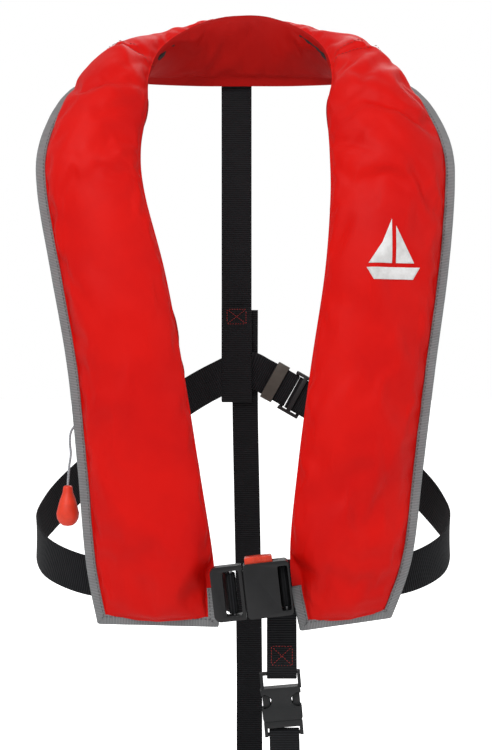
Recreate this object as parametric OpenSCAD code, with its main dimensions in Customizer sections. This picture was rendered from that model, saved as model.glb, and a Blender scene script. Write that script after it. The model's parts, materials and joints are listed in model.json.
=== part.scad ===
// Inflatable life jacket of the horseshoe kind, worn over the shoulders.
// Millimetres. +Z is up, the wearer faces -Y and the wearer's left is +X.
// The origin is between the shoulders, at the height where the jacket rests on them.

/* [Cover] */
// How far the front cloth stands out over the folded bladder
front_bulge = 31; // [26:1:36]
// How far the body-side cloth stands out
back_bulge = 14; // [13:1:17]
// Thickness of one layer of cover cloth
cloth_t = 1.2; // [0.8:0.1:1.4]
// Width of the flat sewn edge
seam_w = 11; // [9:1:13]
// Width of the edge binding
binding_w = 10; // [8:1:11]

/* [Webbing] */
// Width of the waist belt
belt_w = 40; // [36:1:42]
// Width of the back strap
back_strap_w = 35; // [30:1:38]
// Width of the crotch strap
crotch_w = 30; // [26:1:30]
// Thickness of the webbing
web_t = 1.8; // [1.4:0.1:2]

/* [Front buckle] */
// Height of the buckle
buckle_h = 54; // [52:1:58]
// Thickness of the buckle housing
buckle_t = 24; // [22:1:24]
// Tilt of the buckle as it hangs, in degrees
buckle_tilt = 6.5; // [0:0.5:8]
// Travel of the release button

/* [Inflator] */
// Outer radius of the gas cylinder
cylinder_r = 15.5; // [13:0.5:15.5]
// Length of the gas cylinder with its neck
cylinder_l = 140; // [110:5:140]
// Turn of the firing lever, in degrees
lever_turn = 55; // [40:1:55]
// Lift of the piercing pin
pin_lift = 4; // [3:0.5:4]

/* [Pull cord] */
// Diameter of the pull cord
cord_d = 2.5; // [2:0.5:3]
// Largest radius of the pull toggle
toggle_r = 11.5; // [9:0.5:12]

/* [Hidden] */

$fn = 40;
red = "#e8230f";
dark_red = "#b01408";
grey = "#8d9092";
black = "#1b1b1d";
steel = "#b9bcc0";
orange = "#ff4a26";
yellow = "#f2d21b";

play = 0.3;
cloth_gap = 0.3;
nape = 12;
last = 2 * nape;
seam_right = 8.4;
seam_left = last - seam_right;

// Neck-side and outer edges of the cover, from the bottom of each lobe to the nape.
right_neck_edge = [[-27, -108, -561], [-31, -113, -498], [-46, -119, -400], [-62, -121, -300],
    [-80, -118, -205], [-101, -108, -125], [-106, -94, -78], [-101, -68, -30], [-102, -30, 8],
    [-92, 18, 48], [-64, 60, 80], [-32, 82, 98]];
right_outer_edge = [[-149, -96, -560], [-160, -102, -498], [-168, -108, -400], [-178, -110, -300],
    [-195, -106, -205], [-210, -95, -125], [-212, -78, -76], [-198, -48, -28], [-178, -5, 4],
    [-148, 45, 20], [-105, 84, 24], [-52, 106, 26]];
left_neck_edge = [[56, -108, -565], [45, -113, -495], [53, -119, -398], [66, -121, -298],
    [80, -118, -205], [86, -109, -130], [86, -95, -80], [85, -68, -30], [92, -30, 8],
    [86, 18, 48], [62, 60, 80], [32, 82, 98]];
left_outer_edge = [[148, -96, -554], [168, -102, -493], [179, -108, -398], [191, -110, -298],
    [204, -106, -205], [212, -95, -125], [212, -78, -76], [197, -48, -30], [174, -5, 4],
    [146, 45, 20], [105, 84, 24], [52, 106, 26]];
nape_neck_point = [[0, 88, 103]];
nape_outer_point = [[0, 112, 27]];
front_share = [0.72, 0.75, 0.92, 1, 1, 0.98, 0.94, 0.9, 0.9, 0.88, 0.8, 0.72, 0.68];
back_share = [0.7, 0.8, 1.08, 1.15, 1.15, 1, 1, 0.95, 0.9, 0.85, 0.8, 0.75, 0.72];
right_fold_t = [14, 13, 5, 4, 4, 9, 16, 17, 17, 17, 16, 15, 14];
left_fold_t = [14, 16, 20, 20, 20, 19, 18, 17, 17, 17, 16, 15, 14];

function unit(v) = v / norm(v);
function flip(list) = [for (i = [len(list) - 1:-1:0]) list[i]];
function both_sides(share) = concat(share, [for (i = [nape - 1:-1:0]) share[i]]);
function spline(a, b, c, d, t) = (2 * b + (c - a) * t + (2 * a - 5 * b + 4 * c - d) * t * t
    + (3 * b - a - 3 * c + d) * t * t * t) / 2;
function on(points, u) = let (n = len(points) - 1, i = max(0, min(floor(u), n - 1)))
    spline(points[max(i - 1, 0)], points[i], points[i + 1], points[min(i + 2, n)], u - i);
function smooth(points, steps) = [for (k = [0:(len(points) - 1) * steps]) on(points, k / steps)];
function tangent(points, i) = unit(points[min(i + 1, len(points) - 1)] - points[max(i - 1, 0)]);
function fade(x) = let (c = max(0, min(1, x))) c * c * (3 - 2 * c);

neck_edge = concat(right_neck_edge, nape_neck_point, flip(left_neck_edge));
outer_edge = concat(right_outer_edge, nape_outer_point, flip(left_outer_edge));
front_heights = both_sides(front_share) * front_bulge;
back_heights = both_sides(back_share) * back_bulge;
fold_heights = concat(right_fold_t, flip([for (i = [0:nape - 1]) left_fold_t[i]]));

// The cover's middle surface: u runs from the right lobe's bottom over the nape to the left
// lobe's bottom, and a is the distance in from the neck-side edge.
function across(u) = on(outer_edge, u) - on(neck_edge, u);
function cover_w(u) = norm(across(u));
function middle(u) = (on(outer_edge, u) + on(neck_edge, u)) / 2;
function along(u) = unit(middle(min(last, u + 0.06)) - middle(max(0, u - 0.06)));
function outward(u) = unit(cross(along(u), across(u)));
function from_end(u) = min(u, last - u);
function neck_seam(u) = 0.6 + (seam_w - 0.6) * (1 - fade((from_end(u) - 0.85) / 0.3));
function end_rise(u) = let (d = from_end(u) * 63 - seam_w) d <= 0 ? 0 : pow(sin(90 * min(1, d / 75)), 0.6);
function lens(u, a) = let (s = (a - neck_seam(u)) / (cover_w(u) - neck_seam(u) - seam_w))
    s <= 0 || s >= 1 ? 0 : pow(sin(180 * pow(s, 0.9)), 0.55);
function front_h(u, a) = on(front_heights, u) * lens(u, a) * end_rise(u);
function back_h(u, a) = on(back_heights, u) * lens(u, a) * end_rise(u);
function place(u, a, n) = on(neck_edge, u) + unit(across(u)) * a + outward(u) * n;
function lens_steps(u, first, final, count) = let (a0 = neck_seam(u),
    w = cover_w(u) - neck_seam(u) - seam_w)
    [for (k = [0:count]) a0 + w * (first + (final - first) * (1 - cos(180 * k / count)) / 2)];
function panel_steps(u) = concat([0], lens_steps(u, 0, 1, 10), [cover_w(u)]);
function steps_between(u0, u1, count) = [for (k = [0:count]) u0 + (u1 - u0) * k / count];

// Skin over a row of closed rings, each with the same number of points.
module skin(rings) {
    n = len(rings[0]);
    m = len(rings);
    sides = [for (i = [0:m - 2]) for (j = [0:n - 1]) for (half = [0, 1])
        half == 0 ? [i * n + j, i * n + (j + 1) % n, (i + 1) * n + (j + 1) % n]
            : [i * n + j, (i + 1) * n + (j + 1) % n, (i + 1) * n + j]];
    caps = [[for (j = [n - 1:-1:0]) j], [for (j = [0:n - 1]) (m - 1) * n + j]];
    polyhedron([for (ring = rings) each ring], concat(sides, caps), convexity = 8);
}

function sheet_ring(u, steps, low, high) = concat(
    [for (k = [0:len(steps) - 1]) place(u, steps[k], high[k])],
    [for (k = [len(steps) - 1:-1:0]) place(u, steps[k], low[k])]);
function front_ring(u) = let (steps = panel_steps(u), h = [for (a = steps) cloth_gap + front_h(u, a)])
    sheet_ring(u, steps, h, [for (x = h) x + cloth_t]);
function back_ring(u) = let (steps = panel_steps(u), h = [for (a = steps) -cloth_gap - back_h(u, a)])
    sheet_ring(u, steps, [for (x = h) x - cloth_t], h);
function tape_ring(u, lift) = let (steps = lens_steps(u, 0.05, 0.16, 3),
    h = [for (a = steps) lift - cloth_gap - back_h(u, a)])
    sheet_ring(u, steps, h, [for (x = h) x + 0.9]);
function fold_low(u, a) = 2 - back_h(u, a);
function fold_top(u, s) = 1.2 + (on(fold_heights, u) - 1.2) * pow(sin(180 * s), 0.5) * end_rise(u);
function fold_ring(u) = let (steps = lens_steps(u, 0.22, 0.93, 8), low = [for (a = steps) fold_low(u, a)])
    sheet_ring(u, steps, low, [for (k = [0:8]) low[k] + fold_top(u, (k + 0.6) / 9.2)]);

// Flat strip along a path, with its width along the given directions.
module strip(points, wide, width, thick) {
    skin([for (i = [0:len(points) - 1])
        let (w = unit(wide[i]) * width / 2, n = unit(cross(tangent(points, i), wide[i])) * thick / 2)
        [points[i] + w + n, points[i] - w + n, points[i] - w - n, points[i] + w - n]]);
}

// Outline of webbing bent in one plane, given the middle of its thickness.
function side_of(path, offset) = [for (i = [0:len(path) - 1])
    let (t = tangent(path, i)) path[i] + [-t[1], t[0]] * offset];
function web_outline(path) = concat(side_of(path, web_t / 2), flip(side_of(path, -web_t / 2)));
module bent_web(path, width) {
    linear_extrude(width, center = true) polygon(web_outline(path));
}

// Round tube along a path.
function tube_ring(points, i, r, sides) = let (t = tangent(points, i),
    x = unit(cross(t, abs(t[0]) < 0.8 ? [1, 0, 0] : [0, 1, 0])), y = cross(t, x))
    [for (k = [0:sides - 1]) points[i] + r * (x * cos(360 * k / sides) + y * sin(360 * k / sides))];
module tube(points, r, sides = 8) {
    skin([for (i = [0:len(points) - 1]) tube_ring(points, i, r, sides)]);
}
module coil(r, wire_r, pitch, turns) {
    tube([for (k = [0:turns * 14]) [r * cos(k * 360 / 14), r * sin(k * 360 / 14), k * pitch / 14]], wire_r, 6);
}

module rounded(x0, x1, y0, y1, r) {
    translate([x0 + r, y0]) square([x1 - x0 - 2 * r, y1 - y0]);
    translate([x0, y0 + r]) square([x1 - x0, y1 - y0 - 2 * r]);
    for (x = [x0 + r, x1 - r])
        for (y = [y0 + r, y1 - r])
            translate([x, y]) circle(r);
}
// Slab that stands in the XZ plane, between two depths.
module slab(x0, x1, z0, z1, y0, y1, r) {
    translate([0, y1, 0]) rotate([90, 0, 0]) linear_extrude(y1 - y0) rounded(x0, x1, z0, z1, r);
}
module block(x0, x1, y0, y1, z0, z1) {
    translate([x0, y0, z0]) cube([x1 - x0, y1 - y0, z1 - z0]);
}
module rod_y(x, z, r, y0, y1) {
    translate([x, y1, z]) rotate([90, 0, 0]) cylinder(r = r, h = y1 - y0);
}
module rod_z(x, y, r, z0, z1) {
    translate([x, y, z0]) cylinder(r = r, h = z1 - z0);
}

// Cover
module cover_part(u0, u1, count, front) {
    steps = steps_between(u0, u1, count);
    skin([for (u = steps) front ? front_ring(u) : back_ring(u)]);
}
module right_front_panel() {
    color(red) cover_part(0, seam_right, 30, true);
}
module right_back_panel() {
    color(dark_red) difference() {
        cover_part(0, seam_right, 30, false);
        translate(cord_hole) rotate([0, 0, 35]) rotate([90, 0, 0]) cylinder(r = 4, h = 14, center = true);
    }
}
module left_front_panel() {
    color(red) cover_part(seam_left, last, 30, true);
}
module left_back_panel() {
    color(dark_red) cover_part(seam_left, last, 30, false);
}
collar_gap = 0.03;
module collar_outer_panel() {
    color(red) cover_part(seam_right + collar_gap, seam_left - collar_gap, 24, true);
}
module collar_inner_panel() {
    color(dark_red) cover_part(seam_right + collar_gap, seam_left - collar_gap, 24, false);
}

// Folded tape round the sewn edge: it opens inwards, and its fold is outside.
binding_in = cloth_gap + cloth_t + play;
binding_out = binding_in + 0.8;
binding_lip = 1;
function binding_section(w) = [[-w, binding_out], [binding_lip, binding_out], [binding_lip, -binding_out],
    [-w, -binding_out], [-w, -binding_in], [binding_lip - 0.8, -binding_in],
    [binding_lip - 0.8, binding_in], [-w, binding_in]];
function rim(side_u) = concat([for (k = [7:-1:1]) on(neck_edge, side_u(k / 10))],
    [for (k = [0:6]) on(neck_edge, side_u(0)) + across(side_u(0)) * k / 6],
    [for (k = [1:4]) on(outer_edge, side_u(k / 10))],
    [for (k = [3:28]) on(outer_edge, side_u(k * 0.3))]);
function rim_u(side_u) = concat([for (k = [7:-1:1]) side_u(k / 10)], [for (k = [0:6]) side_u(0)],
    [for (k = [1:4]) side_u(k / 10)], [for (k = [3:28]) side_u(k * 0.3)]);
module binding(side_u, turn) {
    points = rim(side_u);
    us = rim_u(side_u);
    color(grey) skin([for (i = [0:len(points) - 1])
        let (n = outward(us[i]), out = unit(cross(tangent(points, i), n)) * turn)
        [for (p = binding_section(binding_w - 1)) points[i] + out * p[0] + n * p[1]]]);
}
module right_binding() {
    binding(function(u) u, -1);
}
module left_binding() {
    binding(function(u) last - u, 1);
}
module tape(lift) {
    skin([for (u = steps_between(1.4, last - 1.4, 54)) tape_ring(u, lift)]);
}
module closure_loop_tape() {
    color(black) tape(0.3);
}
module closure_hook_tape() {
    color(black) tape(1.5);
}

// What lies folded in the cover
module bladder() {
    color(yellow) skin([for (u = steps_between(0.45, last - 0.45, 66)) fold_ring(u)]);
}
module patch(u0, u1) {
    skin([for (u = steps_between(u0, u1, 3))
        let (steps = lens_steps(u, 0.42, 0.66, 4),
            h = [for (a = steps) fold_low(u, a) + on(fold_heights, u) + 0.9])
        sheet_ring(u, steps, h, [for (x = h) x + 0.4])]);
}
module reflective_patches() {
    color(steel) for (u = [5.6, 10, 13, 17.6]) patch(u, u + 0.8);
}
module lifting_loop() {
    color(black) translate([80, -118, -465]) rotate([90, 0, 90])
        bent_web([[0, -28], [0, 0], [0, 28], [-2.6, 31], [-5.2, 28], [-5.2, 0], [-5.2, -28]], 25);
}
module whistle() {
    color(orange) translate([118, -128, -425]) difference() {
        slab(-9, 9, -22, 22, -5, 5, 4);
        block(-6, 6, -3.4, 3.4, -10, 23);
        rod_y(0, -17, 2, -6, 6);
    }
}
module whistle_lanyard() {
    color(black) tube(smooth([[118, -134.5, -442], [114, -137, -432], [104, -137, -410],
        [104, -135, -380], [114, -134, -355], [122, -133, -343]], 3), 1.25);
}

// Belt tunnels on the body side of each lobe
module belt_tunnel(x0, x1) {
    color(black) translate([0, 0, -520]) for (z = [-29, 27])
        block(x0, x1, -95, -85.6, z, z + 2);
    color(black) block(x0, x1, -85.6, -84, -549, -491);
}
module right_belt_tunnel() {
    belt_tunnel(-112, -82);
}
module left_belt_tunnel() {
    belt_tunnel(84, 114);
}

// Inflator, in its own frame: the cylinder points up along local Z and the lever turns about local Y.
inflator_at = [-120, -122, -325];
inflator_lean = -10;
pivot = [-4.1, -19];
module at_inflator() {
    translate(inflator_at) rotate([0, inflator_lean, 0]) children();
}
module inflator_body() {
    color(black) at_inflator() difference() {
        union() {
            slab(-15, 15, -25, 20, -12, 12, 4);
            rod_y(6, 4, 5, 11.5, 13.6);
        }
        rod_z(0, 0, 6.5, 5, 20.1);
        rod_z(0, 0, 4, -6, 5.1);
        rod_z(0, 0, 2.6, -14, -5.9);
        block(-16, 8, -3.2, 3.2, -25.1, -12);
        rod_y(pivot[0], pivot[1], 1.55, -9, 9);
    }
}
module manifold_flange() {
    color(black) at_inflator() rod_y(6, 4, 15, 13.9, 15.6);
}
module cap_nut() {
    color(steel) at_inflator() rod_y(6, 4, 7, -16, -12.3);
}
module cylinder_seal() {
    color(red) at_inflator() translate([0, 0, 5.2]) difference() {
        cylinder(r = 6.2, h = 1.5);
        translate([0, 0, -1]) cylinder(r = 3, h = 4);
    }
}
module gas_cylinder() {
    color(steel) at_inflator() rotate_extrude() polygon([[0, 7], [6.35, 7], [6.35, 20.5], [9, 24],
        [cylinder_r, 33], [cylinder_r, cylinder_l - 6], [12, cylinder_l + 3], [0, cylinder_l + 7]]);
}
cam_throw = pin_lift / (2 * sin(lever_turn / 2));
cam_r = 4.4;
lever_l = 32;
lever_half_t = 1.2;
lever_rest = 170;
cord_eye = [pivot[0] + lever_l * cos(lever_rest), pivot[1] + lever_l * sin(lever_rest)];
module firing_lever() {
    cam = pivot + cam_throw * [cos(-lever_turn / 2), sin(-lever_turn / 2)];
    color(black) at_inflator() difference() {
        union() {
            rod_y(cam[0], cam[1], cam_r, -lever_half_t, lever_half_t);
            rod_y(pivot[0], pivot[1], 2.9, -lever_half_t, lever_half_t);
            rod_y(cord_eye[0], cord_eye[1], 3, -lever_half_t, lever_half_t);
            translate([pivot[0], 0, pivot[1]]) rotate([0, -lever_rest, 0])
                block(1, lever_l, -lever_half_t, lever_half_t, -2, 2);
        }
        rod_y(pivot[0], pivot[1], 1.55, -9, 9);
        rod_y(cord_eye[0], cord_eye[1], 1.8, -9, 9);
    }
}
module lever_pin() {
    color(steel) at_inflator() rod_y(pivot[0], pivot[1], 1.5, -8.8, 8.8);
}
pin_low = pivot[1] + cam_r - cam_throw * sin(lever_turn / 2) + 0.25;
module piercing_pin() {
    color(steel) at_inflator() {
        rod_z(0, 0, 2.5, pin_low, -4);
        rod_z(0, 0, 1, -4, 2);
    }
}
module pin_spring() {
    color(steel) at_inflator() translate([0, 0, -3.2]) coil(2.4, 0.4, 1.7, 4);
}

// Pull cord and toggle
cord_route = [[-152.7, -120.5, -344.5], [-154.5, -115, -348], [-158, -108, -351.5], [-164, -102, -354.5],
    [-171, -98.5, -358], [-176.5, -97, -365], [-178, -97, -375], [-177, -97, -388], [-178.5, -97, -400],
    [-179.5, -97, -412], [-180, -97, -420]];
cord_hole = [-158, -107.5, -351.5];
module pull_cord() {
    color(grey) tube(smooth(cord_route, 3), cord_d / 2);
}
module pull_toggle() {
    color(orange) translate([-180, -97, -461.5]) rotate_extrude() polygon([[0, 0], [5, 0.8], [8.5, 3.5],
        [toggle_r - 0.6, 8], [toggle_r, 13], [toggle_r - 1.6, 20], [8, 27], [5.4, 34], [4.6, 40], [3, 41.2],
        [0, 41.2]]);
}

// Oral inflation tube, in its own frame
module at_oral() {
    translate([126, -134, -335]) rotate([0, 8, 0]) children();
}
module oral_tube() {
    color(black) at_oral() difference() {
        union() {
            rod_z(0, 0, 5.5, -6, 80);
            rod_y(0, 0, 5.5, 0, 9);
            rod_y(0, 0, 14, 7.6, 9.2);
        }
        rod_z(0, 0, 3.8, -2, 80.1);
    }
}
module valve_body() {
    color(orange) at_oral() difference() {
        union() {
            rod_z(0, 0, 3.7, 62, 80.3);
            rod_z(0, 0, 6.3, 80.3, 98);
        }
        rod_z(0, 0, 2, 61, 90);
        rod_z(0, 0, 5, 86, 98.1);
    }
}
module valve_plunger() {
    color(black) at_oral() {
        rod_z(0, 0, 1.8, 66, 94);
        rod_z(0, 0, 4.7, 93, 96.5);
    }
}
module valve_spring() {
    color(steel) at_oral() translate([0, 0, 86.6]) coil(3, 0.4, 1.8, 3);
}
module dust_cap() {
    color(black) at_oral() difference() {
        rod_z(0, 0, 8, 84, 101);
        rod_z(0, 0, 6.6, 83.9, 99);
    }
}

// Harness
back_strap_x = -10;
back_strap_side = [[111.7, 37], [115.4, 27], [118.5, 0], [121, -60], [122.5, -150], [123.4, -230],
    [123.4, -300], [123.4, -325], [122.6, -335], [120, -339], [117.4, -335], [116.6, -325],
    [116.6, -300], [117.4, -270], [119.4, -250], [120.8, -228]];
back_strap_route = [for (p = back_strap_side) [back_strap_x, p[0], p[1]]];
module back_strap() {
    points = smooth(back_strap_route, 3);
    color(black) strip(points, [for (p = points) [1, 0, 0]], back_strap_w, web_t);
}
belt_right_route = [[54, 112.4, -327.3], [22, 118, -309], [-5, 120, -300], [-32, 119, -313],
    [-70, 112, -338], [-130, 88, -378], [-186, 45, -428], [-214, 15, -460], [-222, -18, -480],
    [-206, -55, -499], [-165, -80, -513], [-110, -90, -519], [-70, -98, -522], [-43, -103.4, -522.5]];
belt_left_route = [[54.6, 112.3, -327.6], [86, 106.8, -345.6], [135, 86, -380], [184, 45, -424],
    [210, 15, -456], [218, -18, -477], [204, -55, -497], [165, -80, -512], [110, -90, -517],
    [72, -98.4, -518], [58, -102.4, -518]];
function level(route) = [for (i = [0:len(route) - 1]) let (t = tangent(route, i)) [0, 0, 1] - t * t[2]];
module belt(route) {
    points = smooth(route, 4);
    color(black) strip(points, level(points), belt_w, web_t);
}
module waist_belt_right() {
    belt(belt_right_route);
}
module waist_belt_left() {
    belt(belt_left_route);
}
// Belt hardware slides along the straight stretch at the back.
slide_along = unit([64, -11.2, -36.6]);
module on_belt(at) {
    up = unit([0, 0, 1] - slide_along * slide_along[2]);
    out = cross(slide_along, up);
    multmatrix([[slide_along[0], up[0], out[0], at[0]], [slide_along[1], up[1], out[1], at[1]],
        [slide_along[2], up[2], out[2], at[2]]]) children();
}
module frame_round_belt(length, wall) {
    for (side = [-1, 1]) translate([0, side * (belt_w / 2 + 1 + wall / 2), 0])
        cube([length, wall, 7.2], center = true);
}
module belt_adjuster() {
    color(black) on_belt([60.4, 111.3, -331]) {
        frame_round_belt(26, 3.6);
        for (x = [-11, 11]) translate([x, 0, -3]) cube([4, belt_w + 4, 2], center = true);
        translate([0, 0, 3]) cube([5, belt_w + 4, 2], center = true);
    }
}
module belt_keeper() {
    color("#8a8272") on_belt([34.8, 115.75, -316.2]) {
        frame_round_belt(14, 2);
        for (z = [-2.9, 2.9]) translate([0, 0, z]) cube([14, belt_w + 2.4, 1.4], center = true);
    }
}
crotch_x = 37;
module crotch_loop() {
    color(black) translate([crotch_x, 0, 0]) rotate([90, 0, 90]) bent_web(smooth([[-103.6, -552],
        [-101.4, -540], [-101.2, -504], [-104.5, -495], [-108.2, -504], [-108.2, -545], [-112.5, -585],
        [-116.2, -604], [-112, -612.6], [-107.8, -604], [-107.6, -585], [-105.6, -562]], 4), crotch_w);
}
strap_end_route = [[40, -109.6, -706], [40, -107.6, -686], [39.5, -108, -668], [39.5, -112, -663.4],
    [39.5, -116, -668], [40, -114.6, -686], [40, -112.6, -706]];
crotch_route = [[40, -112.5, -707], [40, -111, -735], [38, -100, -775], [31, -66, -822], [21, 0, -848],
    [11, 66, -828], [6, 104, -780], [5, 118, -730], [5, 124, -660], [3, 126, -560], [0, 126.3, -450],
    [-3, 126.3, -340], [-3, 126.3, -232]];
module flat_strap(route) {
    points = smooth(route, 4);
    color(black) strip(points, [for (p = points) [1, 0, 0]], crotch_w, web_t);
}
module crotch_strap() {
    flat_strap(crotch_route);
}
module crotch_strap_end() {
    flat_strap(strap_end_route);
}

// Front buckle, in its own frame: local X points from the tongue to the housing.
module at_buckle() {
    translate([6.4, -141, -520]) rotate([0, -buckle_tilt, 0]) children();
}
half_h = buckle_h / 2;
module tongue_webbing() {
    color(black) translate([0, 0, -521.5]) rotate([0, -buckle_tilt, 0]) bent_web(smooth([[-42, -103.2],
        [-28, -104.4], [-19.6, -110], [-15, -122], [-9.6, -134], [-9, -142], [-12.5, -145.4],
        [-16.2, -142], [-17, -134], [-19.4, -125], [-21.3, -117.5]], 4), belt_w);
}
module housing_webbing() {
    color(black) translate([0, 0, -520]) rotate([0, -buckle_tilt, 0]) bent_web(smooth([[57, -102.8],
        [40, -104.8], [26, -106], [18.5, -112], [20, -119], [27.5, -124.4], [34.6, -128.6], [35.6, -135],
        [35.7, -141], [39, -144.8], [42.3, -141], [42.1, -133]], 4), belt_w);
}
module buckle_tongue() {
    color(black) at_buckle() difference() {
        union() {
            slab(-39, -7.5, -half_h, half_h, -9, 7, 7);
            slab(-16, -7.5, -half_h, half_h, -9, 7, 1);
            slab(-8, 22, -20, 20, -2.5, 2.5, 2);
        }
        slab(-27, -11, -22, 22, -10, 8, 2);
        block(5, 12.5, -3, 3, -20.1, -15);
        rod_z(-19, 0, 1.85, -25, 25);
    }
}
module tongue_bar() {
    color(steel) at_buckle() rod_z(-19, 0, 1.8, -24.9, 24.9);
}
module housing_space() {
    block(-6, 23.5, -2.9, 2.9, -20.5, 20.5);
    block(-3.5, 23.5, -7.6, 7.6, -23.4, 24);
    block(4, 26.1, -4, 4, -24.5, -14);
    block(-4.2, 24.2, -8.4, 8.4, 18, half_h + 3);
    slab(27.6, 37.4, -22, 22, -13, 13, 2);
    rod_z(32.6, 0, 1.85, -25, 25);
}
module housing_half(y0, y1) {
    color(black) at_buckle() difference() {
        slab(-6, 39, -half_h, half_h, y0, y1, 4);
        housing_space();
    }
}
module housing_front() {
    housing_half(-buckle_t / 2, -0.15);
}
module housing_back() {
    housing_half(0.15, buckle_t / 2);
}
module housing_bar() {
    color(steel) at_buckle() rod_z(32.6, 0, 1.8, -24.9, 24.9);
}
module release_button() {
    color(orange) at_buckle() {
        difference() {
            slab(-3.7, 23.7, 21, half_h + 6, -8, 8, 2);
            block(-6, 26, -3, 3, 18, 24.6);
        }
        for (y = [-7, 4]) block(4, 13, y, y + 3, -18, 22);
    }
}
module latch_arm() {
    color(steel) at_buckle() {
        block(5.6, 26, -2.4, 2.4, -24.2, -22.4);
        block(5.6, 11.8, -2.4, 2.4, -22.5, -16);
    }
}

// Crotch buckle, in its own frame
crotch_lean = -5;
module at_crotch_buckle() {
    translate([crotch_x, -112, -640]) rotate([0, crotch_lean, 0]) children();
}
module crotch_buckle_socket() {
    color(black) at_crotch_buckle() difference() {
        union() {
            slab(-20, 20, -14, 19, -7, 7, 3);
            for (x = [-19.6, 18]) block(x, x + 3.2, -4, 4, 17, 34);
            translate([-19.6, 0, 33]) rotate([0, 90, 0]) cylinder(r = 2, h = 40.8);
        }
        block(-16.4, 16.4, -3.6, 3.6, -14.1, 14);
        block(-20.1, 20.1, -3.6, 3.6, -2.2, 14);
        for (side = [-1, 1]) rod_y(side * 17, 6, 7, -8, 8);
    }
}
module crotch_buckle_plug() {
    color(black) at_crotch_buckle() {
        slab(-19.5, 19.5, -21, -14.4, -6, 6, 2);
        block(-3.5, 3.5, -1.6, 1.6, -14.6, 10);
        for (x = [-19.5, 16]) block(x, x + 3.5, -4, 4, -30, -20);
        translate([-19.5, 0, -28]) rotate([0, 90, 0]) cylinder(r = 2, h = 39);
    }
}
module prong(side) {
    color(black) at_crotch_buckle() {
        block(min(side * 11, side * 14.5), max(side * 11, side * 14.5), -3, 3, -14, 12);
        block(min(side * 12, side * 18.8), max(side * 12, side * 18.8), -3, 3, -1.4, 12);
    }
}
module right_prong() {
    prong(-1);
}
module left_prong() {
    prong(1);
}

right_front_panel();
right_back_panel();
left_front_panel();
left_back_panel();
collar_outer_panel();
collar_inner_panel();
right_binding();
left_binding();
closure_loop_tape();
closure_hook_tape();
bladder();
reflective_patches();
lifting_loop();
whistle();
whistle_lanyard();
right_belt_tunnel();
left_belt_tunnel();
inflator_body();
manifold_flange();
cap_nut();
cylinder_seal();
gas_cylinder();
firing_lever();
lever_pin();
piercing_pin();
pin_spring();
oral_tube();
valve_body();
valve_plunger();
valve_spring();
dust_cap();
back_strap();
waist_belt_right();
waist_belt_left();
tongue_webbing();
housing_webbing();
belt_adjuster();
belt_keeper();
crotch_loop();
crotch_strap();
crotch_strap_end();
buckle_tongue();
tongue_bar();
housing_front();
housing_back();
housing_bar();
release_button();
latch_arm();
crotch_buckle_socket();
crotch_buckle_plug();
right_prong();
left_prong();
pull_cord();
pull_toggle();
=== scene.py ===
"""Inflatable life jacket: the looks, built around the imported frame. Metres, +Z up, the wearer faces -Y."""
import json
import math

import bmesh
import bpy
import numpy as np
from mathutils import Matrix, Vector, noise
from mathutils.bvhtree import BVHTree

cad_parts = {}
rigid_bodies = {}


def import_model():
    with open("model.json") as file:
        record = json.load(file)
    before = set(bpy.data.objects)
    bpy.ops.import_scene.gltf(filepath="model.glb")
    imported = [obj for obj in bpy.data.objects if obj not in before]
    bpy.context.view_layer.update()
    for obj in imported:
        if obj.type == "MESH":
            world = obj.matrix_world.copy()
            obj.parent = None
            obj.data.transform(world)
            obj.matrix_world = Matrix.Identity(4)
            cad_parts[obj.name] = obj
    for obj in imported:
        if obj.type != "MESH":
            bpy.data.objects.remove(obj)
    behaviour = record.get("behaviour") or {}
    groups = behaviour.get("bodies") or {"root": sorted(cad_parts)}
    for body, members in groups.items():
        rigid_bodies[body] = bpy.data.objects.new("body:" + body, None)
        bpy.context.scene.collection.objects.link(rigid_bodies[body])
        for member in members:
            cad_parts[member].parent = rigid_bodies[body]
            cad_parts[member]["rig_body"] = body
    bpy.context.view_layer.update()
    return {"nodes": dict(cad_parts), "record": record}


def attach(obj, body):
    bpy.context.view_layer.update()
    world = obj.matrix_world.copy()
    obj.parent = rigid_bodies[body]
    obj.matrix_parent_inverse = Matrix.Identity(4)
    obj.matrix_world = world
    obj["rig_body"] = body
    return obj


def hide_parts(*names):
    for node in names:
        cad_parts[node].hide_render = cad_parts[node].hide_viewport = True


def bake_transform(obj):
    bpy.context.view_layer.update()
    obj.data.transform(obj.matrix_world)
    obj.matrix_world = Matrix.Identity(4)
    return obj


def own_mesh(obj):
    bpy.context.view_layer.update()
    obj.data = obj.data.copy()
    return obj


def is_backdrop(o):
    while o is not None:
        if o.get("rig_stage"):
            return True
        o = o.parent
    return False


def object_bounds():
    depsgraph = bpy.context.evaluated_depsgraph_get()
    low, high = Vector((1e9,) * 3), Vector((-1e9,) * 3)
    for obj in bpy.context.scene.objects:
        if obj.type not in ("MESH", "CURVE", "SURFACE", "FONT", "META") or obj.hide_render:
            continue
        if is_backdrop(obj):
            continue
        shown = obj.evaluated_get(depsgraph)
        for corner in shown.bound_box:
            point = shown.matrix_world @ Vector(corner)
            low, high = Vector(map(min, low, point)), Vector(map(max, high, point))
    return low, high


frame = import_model()
MM = 0.001

# ---------------------------------------------------------------- camera
EYE_Y = -1.57
EYE_Z = -0.308
FRONT_Y = -0.12
FRAME_HEIGHT = 0.750

camera_data = bpy.data.cameras.new("camera")
camera_data.sensor_fit = "VERTICAL"
camera_data.sensor_height = 24
camera_data.lens = 24 * (FRONT_Y - EYE_Y) / FRAME_HEIGHT
camera = bpy.data.objects.new("camera", camera_data)
camera.location = (0.001, EYE_Y, EYE_Z)
camera.rotation_euler = (math.pi / 2, 0, 0)
bpy.context.scene.collection.objects.link(camera)
bpy.context.scene.camera = camera


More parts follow.
